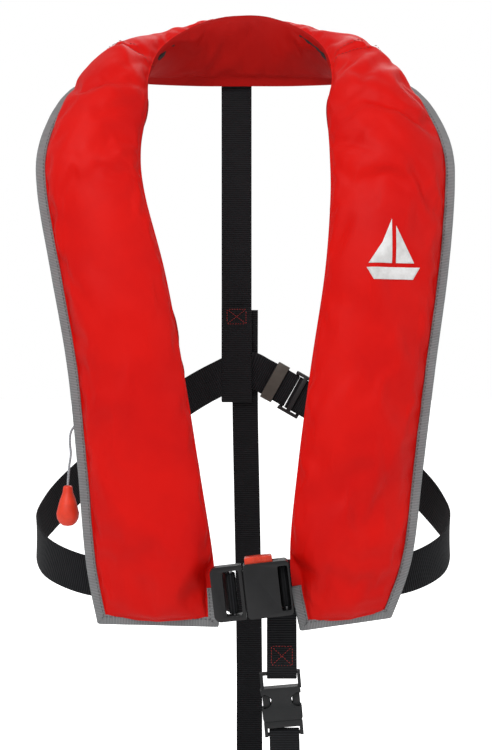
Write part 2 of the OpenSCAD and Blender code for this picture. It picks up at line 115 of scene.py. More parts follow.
# ---------------------------------------------------------------- helpers
def link(name, verts, faces, material, body="root", smooth=True):
    mesh = bpy.data.meshes.new(name)
    mesh.from_pydata([tuple(v) for v in verts], [], faces)
    mesh.update()
    piece = bpy.data.objects.new(name, mesh)
    bpy.context.scene.collection.objects.link(piece)
    mesh.materials.append(material)
    if smooth:
        mesh.polygons.foreach_set("use_smooth", [True] * len(mesh.polygons))
    if body is not None:
        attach(piece, body)
    return piece


def spline(points, per_span):
    """Points along a Catmull-Rom curve through the given ones."""
    p = np.array(points, float)
    p = np.vstack([p[:1], p, p[-1:]])
    out = []
    for i in range(1, len(p) - 2):
        a, b, c, d = p[i - 1], p[i], p[i + 1], p[i + 2]
        for k in range(per_span):
            t = k / per_span
            out.append((2 * b + (c - a) * t + (2 * a - 5 * b + 4 * c - d) * t**2
                        + (3 * b - a - 3 * c + d) * t**3) / 2)
    out.append(p[-2])
    return np.array(out)


def unit(v):
    return v / max(np.linalg.norm(v), 1e-12)


def tangents(points):
    t = np.gradient(points, axis=0)
    return t / np.linalg.norm(t, axis=1)[:, None]


def lengths(points):
    return np.concatenate([[0], np.cumsum(np.linalg.norm(np.diff(points, axis=0), axis=1))])


def even(points, step):
    """The same line with points an even distance apart."""
    s = lengths(points)
    count = max(2, int(round(s[-1] / step)) + 1)
    where = np.linspace(0, s[-1], count)
    return np.stack([np.interp(where, s, points[:, k]) for k in range(3)], axis=1)


def rings_to_mesh(name, rings, material, body="root", caps=True, closed=True, uv=None):
    """A skin over rows of points; uv gives each point's place along and across, in metres."""
    rows, cols = len(rings), len(rings[0])
    verts = [v for ring in rings for v in ring]
    faces = []
    for i in range(rows - 1):
        for j in range(cols if closed else cols - 1):
            k = (j + 1) % cols
            faces.append((i * cols + j, i * cols + k, (i + 1) * cols + k, (i + 1) * cols + j))
    if caps:
        faces.append(tuple(range(cols - 1, -1, -1)))
        faces.append(tuple((rows - 1) * cols + j for j in range(cols)))
    piece = link(name, verts, faces, material, body)
    if uv is not None:
        layer = piece.data.uv_layers.new(name="UVMap")
        for loop in piece.data.loops:
            layer.data[loop.index].uv = uv[loop.vertex_index]
    bm = bmesh.new()
    bm.from_mesh(piece.data)
    bmesh.ops.recalc_face_normals(bm, faces=bm.faces)
    bm.to_mesh(piece.data)
    bm.free()
    return piece


def webbing(name, route, wide, width, material, body="root", thick=1.9 * MM, step=3 * MM):
    """Woven strap with rounded edges along a route; wide is the direction across it, per point or one."""
    points = even(np.array(route), step)
    t = tangents(points)
    if callable(wide):
        w = np.array([wide(p, q) for p, q in zip(points, t)])
    else:
        w = np.tile(unit(np.array(wide, float)), (len(points), 1))
    w /= np.linalg.norm(w, axis=1)[:, None]
    n = np.cross(t, w)
    n /= np.linalg.norm(n, axis=1)[:, None]
    s = lengths(points)
    half, edge = thick / 2, 0.9 * MM
    section = [(x, 1) for x in np.linspace(-width / 2 + edge, width / 2 - edge, 9)]
    section += [(width / 2 - 0.3 * edge, 0.75), (width / 2, 0), (width / 2 - 0.3 * edge, -0.75)]
    section += [(x, -1) for x in np.linspace(width / 2 - edge, -width / 2 + edge, 9)]
    section += [(-width / 2 + 0.3 * edge, -0.75), (-width / 2, 0), (-width / 2 + 0.3 * edge, 0.75)]
    rings, uv = [], []
    for p, wd, nd, d in zip(points, w, n, s):
        rings.append([p + wd * x + nd * (half * h) for x, h in section])
        uv += [(d, x + width / 2) for x, _ in section]
    return rings_to_mesh(name, rings, material, body, uv=uv)


def stitch_row(name, points, normals, material, body="root", length=2.6 * MM, gap=1.6 * MM, radius=0.42 * MM):
    """One row of thread stitches lying on a surface, each a short rounded bar."""
    points, normals = np.array(points), np.array(normals)
    s = lengths(points)
    verts, faces = [], []
    count = int(s[-1] / (length + gap))
    profile = [(-0.5, 0.0, -0.6), (-0.42, 0.8, 0.05), (0.0, 1.0, 0.35), (0.42, 0.8, 0.05), (0.5, 0.0, -0.6)]
    for k in range(count):
        middle = (k + 0.5) * (length + gap)
        p = np.array([np.interp(middle, s, points[:, i]) for i in range(3)])
        q = np.array([np.interp(middle + length / 2, s, points[:, i]) for i in range(3)])
        o = np.array([np.interp(middle - length / 2, s, points[:, i]) for i in range(3)])
        n = unit(np.array([np.interp(middle, s, normals[:, i]) for i in range(3)]))
        t = unit(q - o)
        side = unit(np.cross(n, t))
        base = len(verts)
        for along, r, lift in profile:
            for a in range(6):
                c, d = math.cos(a * math.pi / 3), math.sin(a * math.pi / 3)
                verts.append(p + t * along * length + (side * c + n * d) * max(r, 0.15) * radius
                             + n * radius * lift)
        for i in range(len(profile) - 1):
            for a in range(6):
                b = (a + 1) % 6
                faces.append((base + i * 6 + a, base + i * 6 + b, base + i * 6 + 6 + b, base + i * 6 + 6 + a))
    return link(name, verts, faces, material, body)


# ---------------------------------------------------------------- materials
def material(name, colour, rough=0.5, metal=0.0, sheen=0.0, coat=0.0, specular=0.5):
    m = bpy.data.materials.new(name)
    m.use_nodes = True
    shader = m.node_tree.nodes["Principled BSDF"]
    shader.inputs["Base Color"].default_value = (*colour, 1)
    shader.inputs["Roughness"].default_value = rough
    shader.inputs["Metallic"].default_value = metal
    shader.inputs["Sheen Weight"].default_value = sheen
    shader.inputs["Coat Weight"].default_value = coat
    shader.inputs["Specular IOR Level"].default_value = specular
    return m


def node(m, kind, **values):
    made = m.node_tree.nodes.new(kind)
    for key, value in values.items():
        if hasattr(made, key):
            setattr(made, key, value)
        else:
            made.inputs[key.replace("_", " ")].default_value = value
    return made


def join(m, a, out, b, into):
    m.node_tree.links.new(a.outputs[out], b.inputs[into])


def shader_of(m):
    return m.node_tree.nodes["Principled BSDF"]


def vary_colour(m, source, out, low, high, start=0.3, end=0.7):
    """Runs the base colour between two colours by a texture's value."""
    ramp = node(m, "ShaderNodeValToRGB")
    ramp.color_ramp.elements[0].color = (*low, 1)
    ramp.color_ramp.elements[1].color = (*high, 1)
    ramp.color_ramp.elements[0].position = start
    ramp.color_ramp.elements[1].position = end
    join(m, source, out, ramp, 0)
    join(m, ramp, 0, shader_of(m), "Base Color")
    return ramp


def bumps(m, heights):
    """Adds up (node, output, strength, distance) heights as bump on the shader."""
    last = None
    for source, out, strength, distance in heights:
        bump = node(m, "ShaderNodeBump", Strength=strength, Distance=distance)
        join(m, source, out, bump, "Height")
        if last is not None:
            join(m, last, 0, bump, "Normal")
        last = bump
    join(m, last, 0, shader_of(m), "Normal")


def place(m):
    return node(m, "ShaderNodeTexCoord")


def cloth(name, low, high, rough):
    """Coated nylon: a fine plain weave, soft creases and faint colour changes."""
    m = material(name, high, rough, sheen=0.0, specular=0.16)
    at = place(m)
    weave = node(m, "ShaderNodeTexBrick", Scale=1300.0, offset=0.5)
    weave.inputs["Color1"].default_value = (1, 1, 1, 1)
    weave.inputs["Color2"].default_value = (0.8, 0.8, 0.8, 1)
    weave.inputs["Mortar"].default_value = (0.3, 0.3, 0.3, 1)
    turned = node(m, "ShaderNodeMapping")
    turned.inputs["Rotation"].default_value = (math.pi / 2, 0, 0)
    join(m, at, "Object", turned, 0)
    join(m, turned, 0, weave, "Vector")
    soft = node(m, "ShaderNodeTexNoise", Scale=16.0, Detail=3.0, Roughness=0.55)
    fine = node(m, "ShaderNodeTexNoise", Scale=160.0, Detail=4.0, Roughness=0.6)
    join(m, at, "Object", soft, "Vector")
    join(m, at, "Object", fine, "Vector")
    vary_colour(m, soft, "Fac", low, high, 0.25, 0.65)
    bumps(m, [(weave, "Color", 0.25, 0.0002), (fine, "Fac", 0.15, 0.0006), (soft, "Fac", 0.12, 0.004)])
    rough_range = node(m, "ShaderNodeMapRange")
    rough_range.inputs["To Min"].default_value = rough - 0.06
    rough_range.inputs["To Max"].default_value = rough + 0.08
    join(m, fine, "Fac", rough_range, "Value")
    join(m, rough_range, 0, shader_of(m), "Roughness")
    return m


def ribbed(name, low, high, rib, strength, rough):
    """Woven tape: ribs across it every rib metres, with a fine yarn along them."""
    m = material(name, high, rough, sheen=0.05, specular=0.16)
    at = place(m)
    ribs = node(m, "ShaderNodeTexWave", wave_type="BANDS", bands_direction="X", wave_profile="SIN")
    ribs.inputs["Scale"].default_value = 0.314159 / rib
    join(m, at, "UV", ribs, "Vector")
    yarn = node(m, "ShaderNodeTexWave", wave_type="BANDS", bands_direction="Y", wave_profile="SIN")
    yarn.inputs["Scale"].default_value = 0.314159 / 0.0011
    join(m, at, "UV", yarn, "Vector")
    dust = node(m, "ShaderNodeTexNoise", Scale=90.0, Detail=4.0)
    join(m, at, "Object", dust, "Vector")
    mixed = node(m, "ShaderNodeMix", data_type="FLOAT", Factor=0.35)
    join(m, ribs, "Fac", mixed, 2)
    join(m, dust, "Fac", mixed, 3)
    vary_colour(m, mixed, 0, low, high, 0.2, 0.85)
    bumps(m, [(ribs, "Fac", strength, rib * 0.3), (yarn, "Fac", 0.25, 0.0002), (dust, "Fac", 0.1, 0.0003)])
    return m


def moulded(name, colour, rough, grain=600.0, depth=0.00012, coat=0.0):
    """Moulded plastic with a fine texture and slightly worn patches."""
    m = material(name, colour, rough, coat=coat)
    at = place(m)
    fine = node(m, "ShaderNodeTexNoise", Scale=grain, Detail=3.0)
    wear = node(m, "ShaderNodeTexNoise", Scale=45.0, Detail=5.0, Roughness=0.65)
    join(m, at, "Object", fine, "Vector")
    join(m, at, "Object", wear, "Vector")
    vary_colour(m, wear, "Fac", [c * 0.75 for c in colour], [min(1, c * 1.25 + 0.002) for c in colour])
    spread = node(m, "ShaderNodeMapRange")
    spread.inputs["To Min"].default_value = max(0.05, rough - 0.1)
    spread.inputs["To Max"].default_value = rough + 0.12
    join(m, wear, "Fac", spread, "Value")
    join(m, spread, 0, shader_of(m), "Roughness")
    bumps(m, [(fine, "Fac", 0.35, depth)])
    return m


def metal(name, colour, rough):
    m = material(name, colour, rough, metal=1.0)
    at = place(m)
    lines = node(m, "ShaderNodeTexNoise", Scale=250.0, Detail=4.0)
    join(m, at, "Object", lines, "Vector")
    vary_colour(m, lines, "Fac", [c * 0.8 for c in colour], colour)
    bumps(m, [(lines, "Fac", 0.2, 0.0002)])
    return m


RED = cloth("red_cover", (0.70, 0.002, 0.001), (0.80, 0.004, 0.001), 0.5)
# The body-side panels use the same red cloth as the face, made darker: this is painted shade.
SHADED_RED = cloth("red_lining", (0.40, 0.002, 0.001), (0.47, 0.003, 0.001), 0.6)
TAPE = ribbed("grey_binding", (0.17, 0.175, 0.18), (0.34, 0.345, 0.35), 0.0016, 0.5, 0.7)
WEB = ribbed("black_webbing", (0.0035, 0.0037, 0.0045), (0.017, 0.018, 0.021), 0.0024, 0.9, 0.62)
BRAID = ribbed("grey_cord", (0.30, 0.31, 0.33), (0.62, 0.64, 0.68), 0.0016, 0.8, 0.7)
THREAD = material("grey_thread", (0.10, 0.10, 0.105), 0.7, sheen=0.2)
RED_THREAD = material("red_thread", (0.36, 0.006, 0.006), 0.65, sheen=0.2)
PRINT = moulded("white_print", (0.86, 0.84, 0.82), 0.42, 900.0, 0.00005)
BUCKLE = moulded("buckle_black", (0.006, 0.006, 0.007), 0.32, 700.0, 0.00008, 0.08)
MATT = moulded("buckle_matt", (0.008, 0.009, 0.010), 0.42)
BUTTON = moulded("button_orange", (0.93, 0.050, 0.012), 0.28, 500.0, 0.00005, 0.3)
TOGGLE = moulded("toggle_orange", (0.93, 0.045, 0.014), 0.40)
DRAB = moulded("keeper_drab", (0.075, 0.068, 0.055), 0.5)
STEEL = metal("steel_small", (0.62, 0.62, 0.64), 0.3)
CAD_LOOK = {
    "red_cover": RED, "red_lining": SHADED_RED, "grey_binding": TAPE, "black_webbing": WEB, "grey_cord": BRAID,
    "hook_and_loop": moulded("hook_and_loop", (0.012, 0.012, 0.012), 0.9, 1800.0, 0.0006),
    "bladder_cloth": cloth("bladder_cloth", (0.75, 0.45, 0.01), (0.9, 0.6, 0.02), 0.5),
    "reflective_tape": moulded("reflective_tape", (0.6, 0.62, 0.64), 0.25, 1500.0, 0.0001),
    "orange_plastic": moulded("orange_plastic", (0.9, 0.10, 0.015), 0.4), "button_orange": BUTTON,
    "toggle_orange": TOGGLE, "black_moulding": moulded("black_moulding", (0.015, 0.015, 0.016), 0.45),
    "steel_small": STEEL, "spring_steel": metal("spring_steel", (0.5, 0.5, 0.53), 0.35),
    "seal_rubber": moulded("seal_rubber", (0.09, 0.01, 0.01), 0.6),
    "zinc_steel": metal("zinc_steel", (0.62, 0.66, 0.64), 0.4), "buckle_black": BUCKLE,
    "buckle_matt": MATT, "keeper_drab": DRAB,
}
for part in frame["record"]["subparts"]:
    shown = frame["nodes"][part["node"]]
    shown.data.materials.clear()
    shown.data.materials.append(CAD_LOOK[part["material_slot"]])


# ---------------------------------------------------------------- moulded parts
def refined(name, bevel, look, segments=3):
    """A copy of a CAD part with its edges rounded."""
    source = frame["nodes"][name]
    bm = bmesh.new()
    bm.from_mesh(source.data)
    bmesh.ops.remove_doubles(bm, verts=bm.verts, dist=0.00002)
    bmesh.ops.dissolve_limit(bm, angle_limit=math.radians(1.5), verts=bm.verts, edges=bm.edges)
    sharp = [e for e in bm.edges if len(e.link_faces) == 2 and e.calc_face_angle(0) > math.radians(28)]
    bmesh.ops.bevel(bm, geom=sharp, offset=bevel, segments=segments, profile=0.5, affect="EDGES",
                    clamp_overlap=True)
    bmesh.ops.recalc_face_normals(bm, faces=bm.faces)
    mesh = bpy.data.meshes.new(name + "_moulding")
    bm.to_mesh(mesh)
    bm.free()
    piece = bpy.data.objects.new(name + "_moulding", mesh)
    bpy.context.scene.collection.objects.link(piece)
    mesh.materials.append(look)
    mesh.polygons.foreach_set("use_smooth", [True] * len(mesh.polygons))
    mesh.set_sharp_from_angle(angle=math.radians(40))
    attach(piece, source["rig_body"])
    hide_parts(name)
    return piece


# ---------------------------------------------------------------- pull cord
CORD_ROUTE = [(-152.7, -120.5, -344.5), (-154.5, -115, -348), (-158, -108, -351.5), (-164, -102, -354.5),
              (-171, -98.5, -358), (-176.5, -97, -365), (-178, -97, -375), (-177, -97, -388),
              (-178.5, -97, -400), (-179.5, -97, -412), (-180, -97, -420)]
CORD_D = 0.0025


def pull_cord():
    """Braided cord: a tube whose surface follows its crossing strands."""
    line = even(spline(np.array(CORD_ROUTE) * MM, 8), 0.5 * MM)
    t = tangents(line)
    rings, uv = [], []
    s = lengths(line)
    for p, d, far in zip(line, t, s):
        x = unit(np.cross(d, (0.0, 1.0, 0.2)))
        y = np.cross(d, x)
        ring = []
        for k in range(16):
            a = k * math.pi / 8
            r = CORD_D / 2 * (0.97 + 0.05 * math.sin(4 * a + far * 1900) * math.sin(4 * a - far * 1900))
            ring.append(p + r * (x * math.cos(a) + y * math.sin(a)))
            uv.append((far, k * 0.0005))
        rings.append(ring)
    piece = rings_to_mesh("pull_cord_braid", rings, BRAID, "toggle", uv=uv)
    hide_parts("pull_cord")
    refined("pull_toggle", 0.5 * MM, TOGGLE)
    return piece


pull_cord()

# ---------------------------------------------------------------- cover
# Neck-side and outer edges of the cover, from the bottom of the right lobe over the nape.
RIGHT_NECK = [(-27, -108, -561), (-31, -113, -498), (-46, -119, -400), (-62, -121, -300),
              (-80, -118, -205), (-101, -108, -125), (-106, -94, -78), (-101, -68, -30),
              (-102, -30, 8), (-92, 18, 48), (-64, 60, 80), (-32, 82, 98)]
RIGHT_OUTER = [(-149, -96, -560), (-160, -102, -498), (-168, -108, -400), (-178, -110, -300),
               (-195, -106, -205), (-210, -95, -125), (-212, -78, -76), (-198, -48, -28),
               (-178, -5, 4), (-148, 45, 20), (-105, 84, 24), (-52, 106, 26)]
LEFT_NECK = [(56, -108, -565), (45, -113, -495), (53, -119, -398), (66, -121, -298),
             (80, -118, -205), (86, -109, -130), (86, -95, -80), (85, -68, -30), (92, -30, 8),
             (86, 18, 48), (62, 60, 80), (32, 82, 98)]
LEFT_OUTER = [(148, -96, -554), (168, -102, -493), (179, -108, -398), (191, -110, -298),
              (204, -106, -205), (212, -95, -125), (212, -78, -76), (197, -48, -30), (174, -5, 4),
              (146, 45, 20), (105, 84, 24), (52, 106, 26)]
NECK_EDGE = np.array(RIGHT_NECK + [(0, 88, 103)] + LEFT_NECK[::-1], float) * MM
OUTER_EDGE = np.array(RIGHT_OUTER + [(0, 112, 27)] + LEFT_OUTER[::-1], float) * MM
FRONT_SHARE = [0.72, 0.75, 0.92, 1, 1, 0.98, 0.94, 0.9, 0.9, 0.88, 0.8, 0.72, 0.68]
BACK_SHARE = [0.7, 0.8, 1.08, 1.15, 1.15, 1, 1, 0.95, 0.9, 0.85, 0.8, 0.75, 0.72]
FRONT_H = np.array(FRONT_SHARE + FRONT_SHARE[-2::-1]) * 31 * MM
BACK_H = np.array(BACK_SHARE + BACK_SHARE[-2::-1]) * 14 * MM
LAST = 24.0
SHOULDER = 8.4
SEAM = 11 * MM
# At each end of the cover, in mm: the step between its points, the flat seam and the swell.
END_STEP = 63
END_FLAT = 11
END_RISE = 75
CLOTH_OUT = 1.5 * MM
CLOTH_SLACK = 3.2 * MM
CLOTH_SINK = 0.7 * MM


def on(points, u):
    """The curve's point, or number, at a place u counted in its own points."""
    n = len(points) - 1
    i = int(max(0, min(math.floor(u), n - 1)))
    a, b, c, d = points[max(i - 1, 0)], points[i], points[i + 1], points[min(i + 2, n)]
    t = u - i
    return (2 * b + (c - a) * t + (2 * a - 5 * b + 4 * c - d) * t * t
            + (3 * b - a - 3 * c + d) * t**3) / 2


def fade(x):
    c = max(0.0, min(1.0, x))
    return c * c * (3 - 2 * c)


def across(u):
    return on(OUTER_EDGE, u) - on(NECK_EDGE, u)


def outward(u):
    u0, u1 = max(0, u - 0.06), min(LAST, u + 0.06)
    run = on(OUTER_EDGE, u1) + on(NECK_EDGE, u1) - on(OUTER_EDGE, u0) - on(NECK_EDGE, u0)
    return unit(np.cross(run, across(u)))


def neck_seam(u):
    return 0.6 * MM + (SEAM - 0.6 * MM) * (1 - fade((min(u, LAST - u) - 0.85) / 0.3))


def end_rise(u):
    d = min(u, LAST - u) * END_STEP - END_FLAT
    return 0.0 if d <= 0 else math.sin(math.pi / 2 * min(1, d / END_RISE)) ** 0.6


def lens(u, a):
    s = (a - neck_seam(u)) / (np.linalg.norm(across(u)) - neck_seam(u) - SEAM)
    return 0.0 if s <= 0 or s >= 1 else math.sin(math.pi * s**0.9) ** 0.55


def row_steps(u, count):
    w = np.linalg.norm(across(u))
    a0 = neck_seam(u)
    inside = [a0 + (w - a0 - SEAM) * (1 - math.cos(math.pi * k / count)) / 2 for k in range(count + 1)]
    return [0.0] + inside + [w - SEAM / 2, w]


FRONT_COUNT = 38
BACK_COUNT = 16
FRONT_COLS = FRONT_COUNT + 4
BACK_COLS = BACK_COUNT + 4
ROWS = sorted([k / 10 for k in range(int(LAST) * 10 + 1) if k not in (84, 156)]
              + [SHOULDER + d for d in (-0.04, 0, 0.04)] + [LAST - SHOULDER + d for d in (-0.04, 0, 0.04)])


def dents(seed, count):
    """Soft folds, each with a place on the cover, a direction, a length, a width and a depth.
    Most are short and lie aslant near the neck edge; one in five is a broad dent."""
    rng = np.random.default_rng(seed)
    made = []
    for k in range(count):
        broad = k % 5 == 0
        near_neck = rng.random() < 0.6
        far = rng.uniform(0.0, 0.35) if near_neck else rng.uniform(0.3, 1.0)
        turn = rng.choice((-1, 1)) * rng.uniform(0.35, 1.25)
        long = rng.uniform(45, 80) if broad else rng.uniform(16, 42)
        wide = rng.uniform(14, 24) if broad else rng.uniform(4.0, 7.5)
        depth = rng.uniform(-6.5, 3.0) if broad else rng.uniform(-4.6, 2.6)
        made.append((rng.uniform(0.6, LAST - 0.6), far, turn, long * MM, wide * MM, depth * MM))
    return made


FOLD_SEED = 11
FOLDS = 190
DENTS = dents(FOLD_SEED, FOLDS)
POINT_STEP = 0.062
COVER_WIDTH = 0.13


def crease(u, s):
    """Height of the folds at a place on the cover, in metres."""
    total = 0.0
    for u0, s0, turn, long, wide, depth in DENTS:
        du = (u - u0) * POINT_STEP
        if abs(du) > 2.2 * long:
            continue
        ds = (s - s0) * COVER_WIDTH
        x = du * math.cos(turn) + ds * math.sin(turn)
        y = -du * math.sin(turn) + ds * math.cos(turn)
        total += depth * math.exp(-(x / long) ** 2 - abs(y / wide) ** 1.5)
    return total


def cover_rings():
    rings, pins, floors, ways = [], [], [], []
    for u in ROWS:
        n, start, way = outward(u), on(NECK_EDGE, u), unit(across(u))
        w = np.linalg.norm(across(u))
        ring, pin, low, way_out = [], [], [], []
        for count, side, heights in ((FRONT_COUNT, 1, FRONT_H), (BACK_COUNT, -1, BACK_H)):
            steps = row_steps(u, count)
            if side < 0:
                steps = steps[::-1]
            for a in steps:
                full = lens(u, a) * end_rise(u)
                h = CLOTH_OUT + on(heights, u) * full
                slack = CLOTH_SLACK if side > 0 else CLOTH_SLACK / 2
                fold = (slack + crease(u, a / w) * (1 if side > 0 else 0.4)) * min(1, full * 1.6)
                foot = start + way * a
                ring.append(foot + n * side * (h + max(fold, -CLOTH_SINK)))
                low.append(foot + n * side * (h - CLOTH_SINK))
                way_out.append(n * side)
                pin.append(1.0 if full == 0 else max(0.0, 0.5 - full))
        rings.append(ring)
        pins.append(pin)
        floors.append(low)
        ways.append(way_out)
    return np.array(rings), np.array(pins), np.array(floors), np.array(ways)


def keep_above(points, floors, ways):
    """Lifts each point that sank below its floor, which lies CLOTH_SINK under the cover's outer skin."""
    under = np.minimum(((points - floors) * ways).sum(-1), 0)
    return points - ways * under[..., None]


SETTLE_FRAMES = 24
LONGEST_MOVE = 6 * MM
CUT_LONGER = 0.035


def puff(rings, pins):
    """Lets the cover's cloth settle over what is folded in it: cut a little long, it wrinkles."""
    rows, cols = rings.shape[:2]
    verts = rings.reshape(-1, 3)
    faces = [(i * cols + j, i * cols + (j + 1) % cols, (i + 1) * cols + (j + 1) % cols, (i + 1) * cols + j)
             for i in range(rows - 1) for j in range(cols)]
    mesh = bpy.data.meshes.new("cover_cloth")
    mesh.from_pydata([tuple(v) for v in verts], [], faces)
    obj = bpy.data.objects.new("cover_cloth", mesh)
    bpy.context.scene.collection.objects.link(obj)
    bm = bmesh.new()
    bm.from_mesh(mesh)
    bmesh.ops.recalc_face_normals(bm, faces=bm.faces)
    bm.to_mesh(mesh)
    bm.free()
    group = obj.vertex_groups.new(name="held")
    for index, weight in enumerate(pins.reshape(-1)):
        group.add([index], float(weight), "REPLACE")
    modifier = obj.modifiers.new("Cloth", "CLOTH")
    settings = modifier.settings
    settings.quality = 6
    settings.mass = 0.25
    settings.tension_stiffness = 40
    settings.compression_stiffness = 40
    settings.shear_stiffness = 12
    settings.bending_stiffness = 1.6
    settings.shrink_min = -CUT_LONGER
    settings.use_pressure = True
    settings.uniform_pressure_force = 2.2
    settings.vertex_group_mass = "held"
    settings.effector_weights.gravity = 0
    modifier.collision_settings.use_collision = False
    scene = bpy.context.scene
    modifier.point_cache.frame_start = 1
    modifier.point_cache.frame_end = SETTLE_FRAMES
    for k in range(1, SETTLE_FRAMES + 1):
        scene.frame_set(k)
    done = obj.evaluated_get(bpy.context.evaluated_depsgraph_get())
    out = np.array([v.co[:] for v in done.data.vertices])
    scene.frame_set(1)
    bpy.data.objects.remove(obj)
    move = out - verts
    far = np.linalg.norm(move, axis=1)[:, None]
    return (verts + move * np.minimum(1, LONGEST_MOVE / np.maximum(far, 1e-9))).reshape(rings.shape)


def grid_piece(name, rings, material_, flip=False):
    rows, cols = rings.shape[:2]
    faces = []
    for i in range(rows - 1):
        for j in range(cols - 1):
            face = (i * cols + j, i * cols + j + 1, (i + 1) * cols + j + 1, (i + 1) * cols + j)
            faces.append(face[::-1] if flip else face)
    piece = link(name, rings.reshape(-1, 3), faces, material_)
    smooth_it = piece.modifiers.new("Subdivision", "SUBSURF")
    smooth_it.levels = smooth_it.render_levels = 1
    return piece


rings, pins, floors, ways = cover_rings()
rings = puff(rings, pins)
rings = keep_above(rings, floors, ways)
for k, u in enumerate(ROWS):
    if abs(u - SHOULDER) < 1e-6 or abs(u - LAST + SHOULDER) < 1e-6:
        tuck = np.array([1.0] * FRONT_COLS + [0.0] * BACK_COLS)[:, None]
        rings[k] -= outward(u) * tuck * CLOTH_SLACK * (1 - pins[k][:, None])
first = min(range(len(ROWS)), key=lambda k: abs(ROWS[k] - SHOULDER))
final = min(range(len(ROWS)), key=lambda k: abs(ROWS[k] - LAST + SHOULDER))
COVER = {}
for place_name, low, high, front_node, back_node in (
        ("right_lobe", 0, first + 1, "right_front_panel", "right_back_panel"),
        ("collar", first, final + 1, "collar_outer_panel", "collar_inner_panel"),
        ("left_lobe", final, len(ROWS), "left_front_panel", "left_back_panel")):
    face = grid_piece(place_name + "_face_cloth", rings[low:high, :FRONT_COLS], RED, True)
    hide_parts(front_node)
    back = np.concatenate([rings[low:high, FRONT_COLS:], rings[low:high, :1]], axis=1)
    # The body-side cloth takes the darker red, which is painted shade on the same cloth.
    shaded_back = grid_piece(place_name + "_body_cloth", back, SHADED_RED, True)
    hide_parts(back_node)
    COVER[place_name] = face


# ---------------------------------------------------------------- binding
def rim(side_u):
    """The cover's bound edge: down the neck side's end, along the bottom and up the outer edge."""
    points, us = [], []
    for k in range(28, 0, -1):
        points.append(on(NECK_EDGE, side_u(k / 40)))
        us.append(side_u(k / 40))
    for k in range(25):
        points.append(on(NECK_EDGE, side_u(0)) + across(side_u(0)) * k / 24)
        us.append(side_u(0))
    for k in range(1, 169):
        points.append(on(OUTER_EDGE, side_u(k / 20)))
        us.append(side_u(k / 20))
    return np.array(points), np.array(us)


def binding(name, side_u, turn, replaced):
    points, us = rim(side_u)
    s = lengths(points)
    where = np.linspace(0, s[-1], int(s[-1] / (2.5 * MM)))
    line = np.stack([np.interp(where, s, points[:, k]) for k in range(3)], axis=1)
    u_line = np.interp(where, s, us)
    normals = np.array([outward(u) for u in u_line])
    t = tangents(line)
    out = np.cross(t, normals) * turn
    kernel = np.ones(5) / 5
    out = np.stack([np.convolve(np.pad(out[:, k], 2, "edge"), kernel, "valid") for k in range(3)], axis=1)
    out /= np.linalg.norm(out, axis=1)[:, None]
    section = [(-9.3, 1.9), (-9.2, 2.6), (-8.0, 2.75), (-6.0, 2.6), (-3.0, 2.55), (-0.6, 2.5), (0.6, 2.0),
               (1.0, 0.8), (1.0, -0.8), (0.6, -2.0), (-0.6, -2.5), (-3.0, -2.55), (-6.0, -2.6), (-8.0, -2.75),
               (-9.2, -2.6), (-9.3, -1.9)]
    rings_, uv = [], []
    for k, (p, n, o, d) in enumerate(zip(line, normals, out, where)):
        wave = 0.5 * MM * noise.noise(Vector(p) * 60)
        ring = []
        for j, (w, h) in enumerate(section):
            edge = noise.noise(Vector(p) * 45 + Vector((w, 0, 0))) * 0.5
            ring.append(p + o * ((w + edge * (w < -5)) * MM) + n * (h * MM + wave))
            uv.append((d, j * 0.0015))
        rings_.append(ring)
    piece = rings_to_mesh(name, rings_, TAPE, uv=uv)
    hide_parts(replaced)
    for side, tag in ((1, "front"), (-1, "back")):
        row = line + out * (-7.4 * MM) + normals * (2.75 * MM * side)
        stitch_row(f"{name}_stitches_{tag}", row, normals * side, THREAD)
    return piece


binding("right_edge_tape", lambda u: u, -1, "right_binding")
binding("left_edge_tape", lambda u: LAST - u, 1, "left_binding")


# ---------------------------------------------------------------- shoulder stitching
def shoulder_stitches(name, row, side):
    """Thread along a shoulder seam, on the rows of cloth beside it."""
    u = ROWS[row]
    n = outward(u)
    points = rings[row, 3:FRONT_COLS - 3] + n * 0.5 * MM
    piece = stitch_row(f"{name}_seam_stitches_{side}", points, [n] * len(points), RED_THREAD)


for seam_name, seam_row in (("right", first), ("left", final)):
    shoulder_stitches(seam_name, seam_row - 2, "a")
    shoulder_stitches(seam_name, seam_row + 2, "b")


# ---------------------------------------------------------------- chest print
PRINT_AT = (0.146, -0.185)
PRINT_SHAPES = [
    [(-27, -17), (27, -17), (20, -29), (-20, -29)],
    [(-1.5, -13), (-1.5, 31), (-11, 8), (-25, -13)],
    [(2.5, -13), (2.5, 24), (12, 4), (21, -13)],
]


def chest_print():
    """A plain white sailing boat, laid on the left lobe's cloth."""
    evaluated_view = bpy.context.evaluated_depsgraph_get()
    tree = BVHTree.FromObject(COVER["left_lobe"], evaluated_view)
    bm = bmesh.new()
    for shape in PRINT_SHAPES:
        corners = [bm.verts.new((PRINT_AT[0] + x * MM, 0, PRINT_AT[1] + z * MM)) for x, z in shape]
        bm.faces.new(corners)
    bmesh.ops.triangulate(bm, faces=bm.faces)
    for _ in range(4):
        bmesh.ops.subdivide_edges(bm, edges=bm.edges[:], cuts=1, use_grid_fill=True)
    for v in bm.verts:
        hit, normal, _, _ = tree.ray_cast(Vector((v.co.x, -0.4, v.co.z)), Vector((0, 1, 0)))
        if hit is not None:
            v.co = hit + Vector((0, -0.45 * MM, 0))
    bmesh.ops.recalc_face_normals(bm, faces=bm.faces)
    mesh = bpy.data.meshes.new("chest_print")
    bm.to_mesh(mesh)
    bm.free()
    piece = bpy.data.objects.new("chest_print", mesh)
    bpy.context.scene.collection.objects.link(piece)
    mesh.materials.append(PRINT)
    mesh.polygons.foreach_set("use_smooth", [True] * len(mesh.polygons))
    thick = piece.modifiers.new("Solidify", "SOLIDIFY")
    thick.thickness = 0.15 * MM
    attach(piece, "root")


chest_print()


# ---------------------------------------------------------------- webbing
def belt_across(point, along):
    return np.array([0.0, 0.0, 1.0]) - along * along[2]


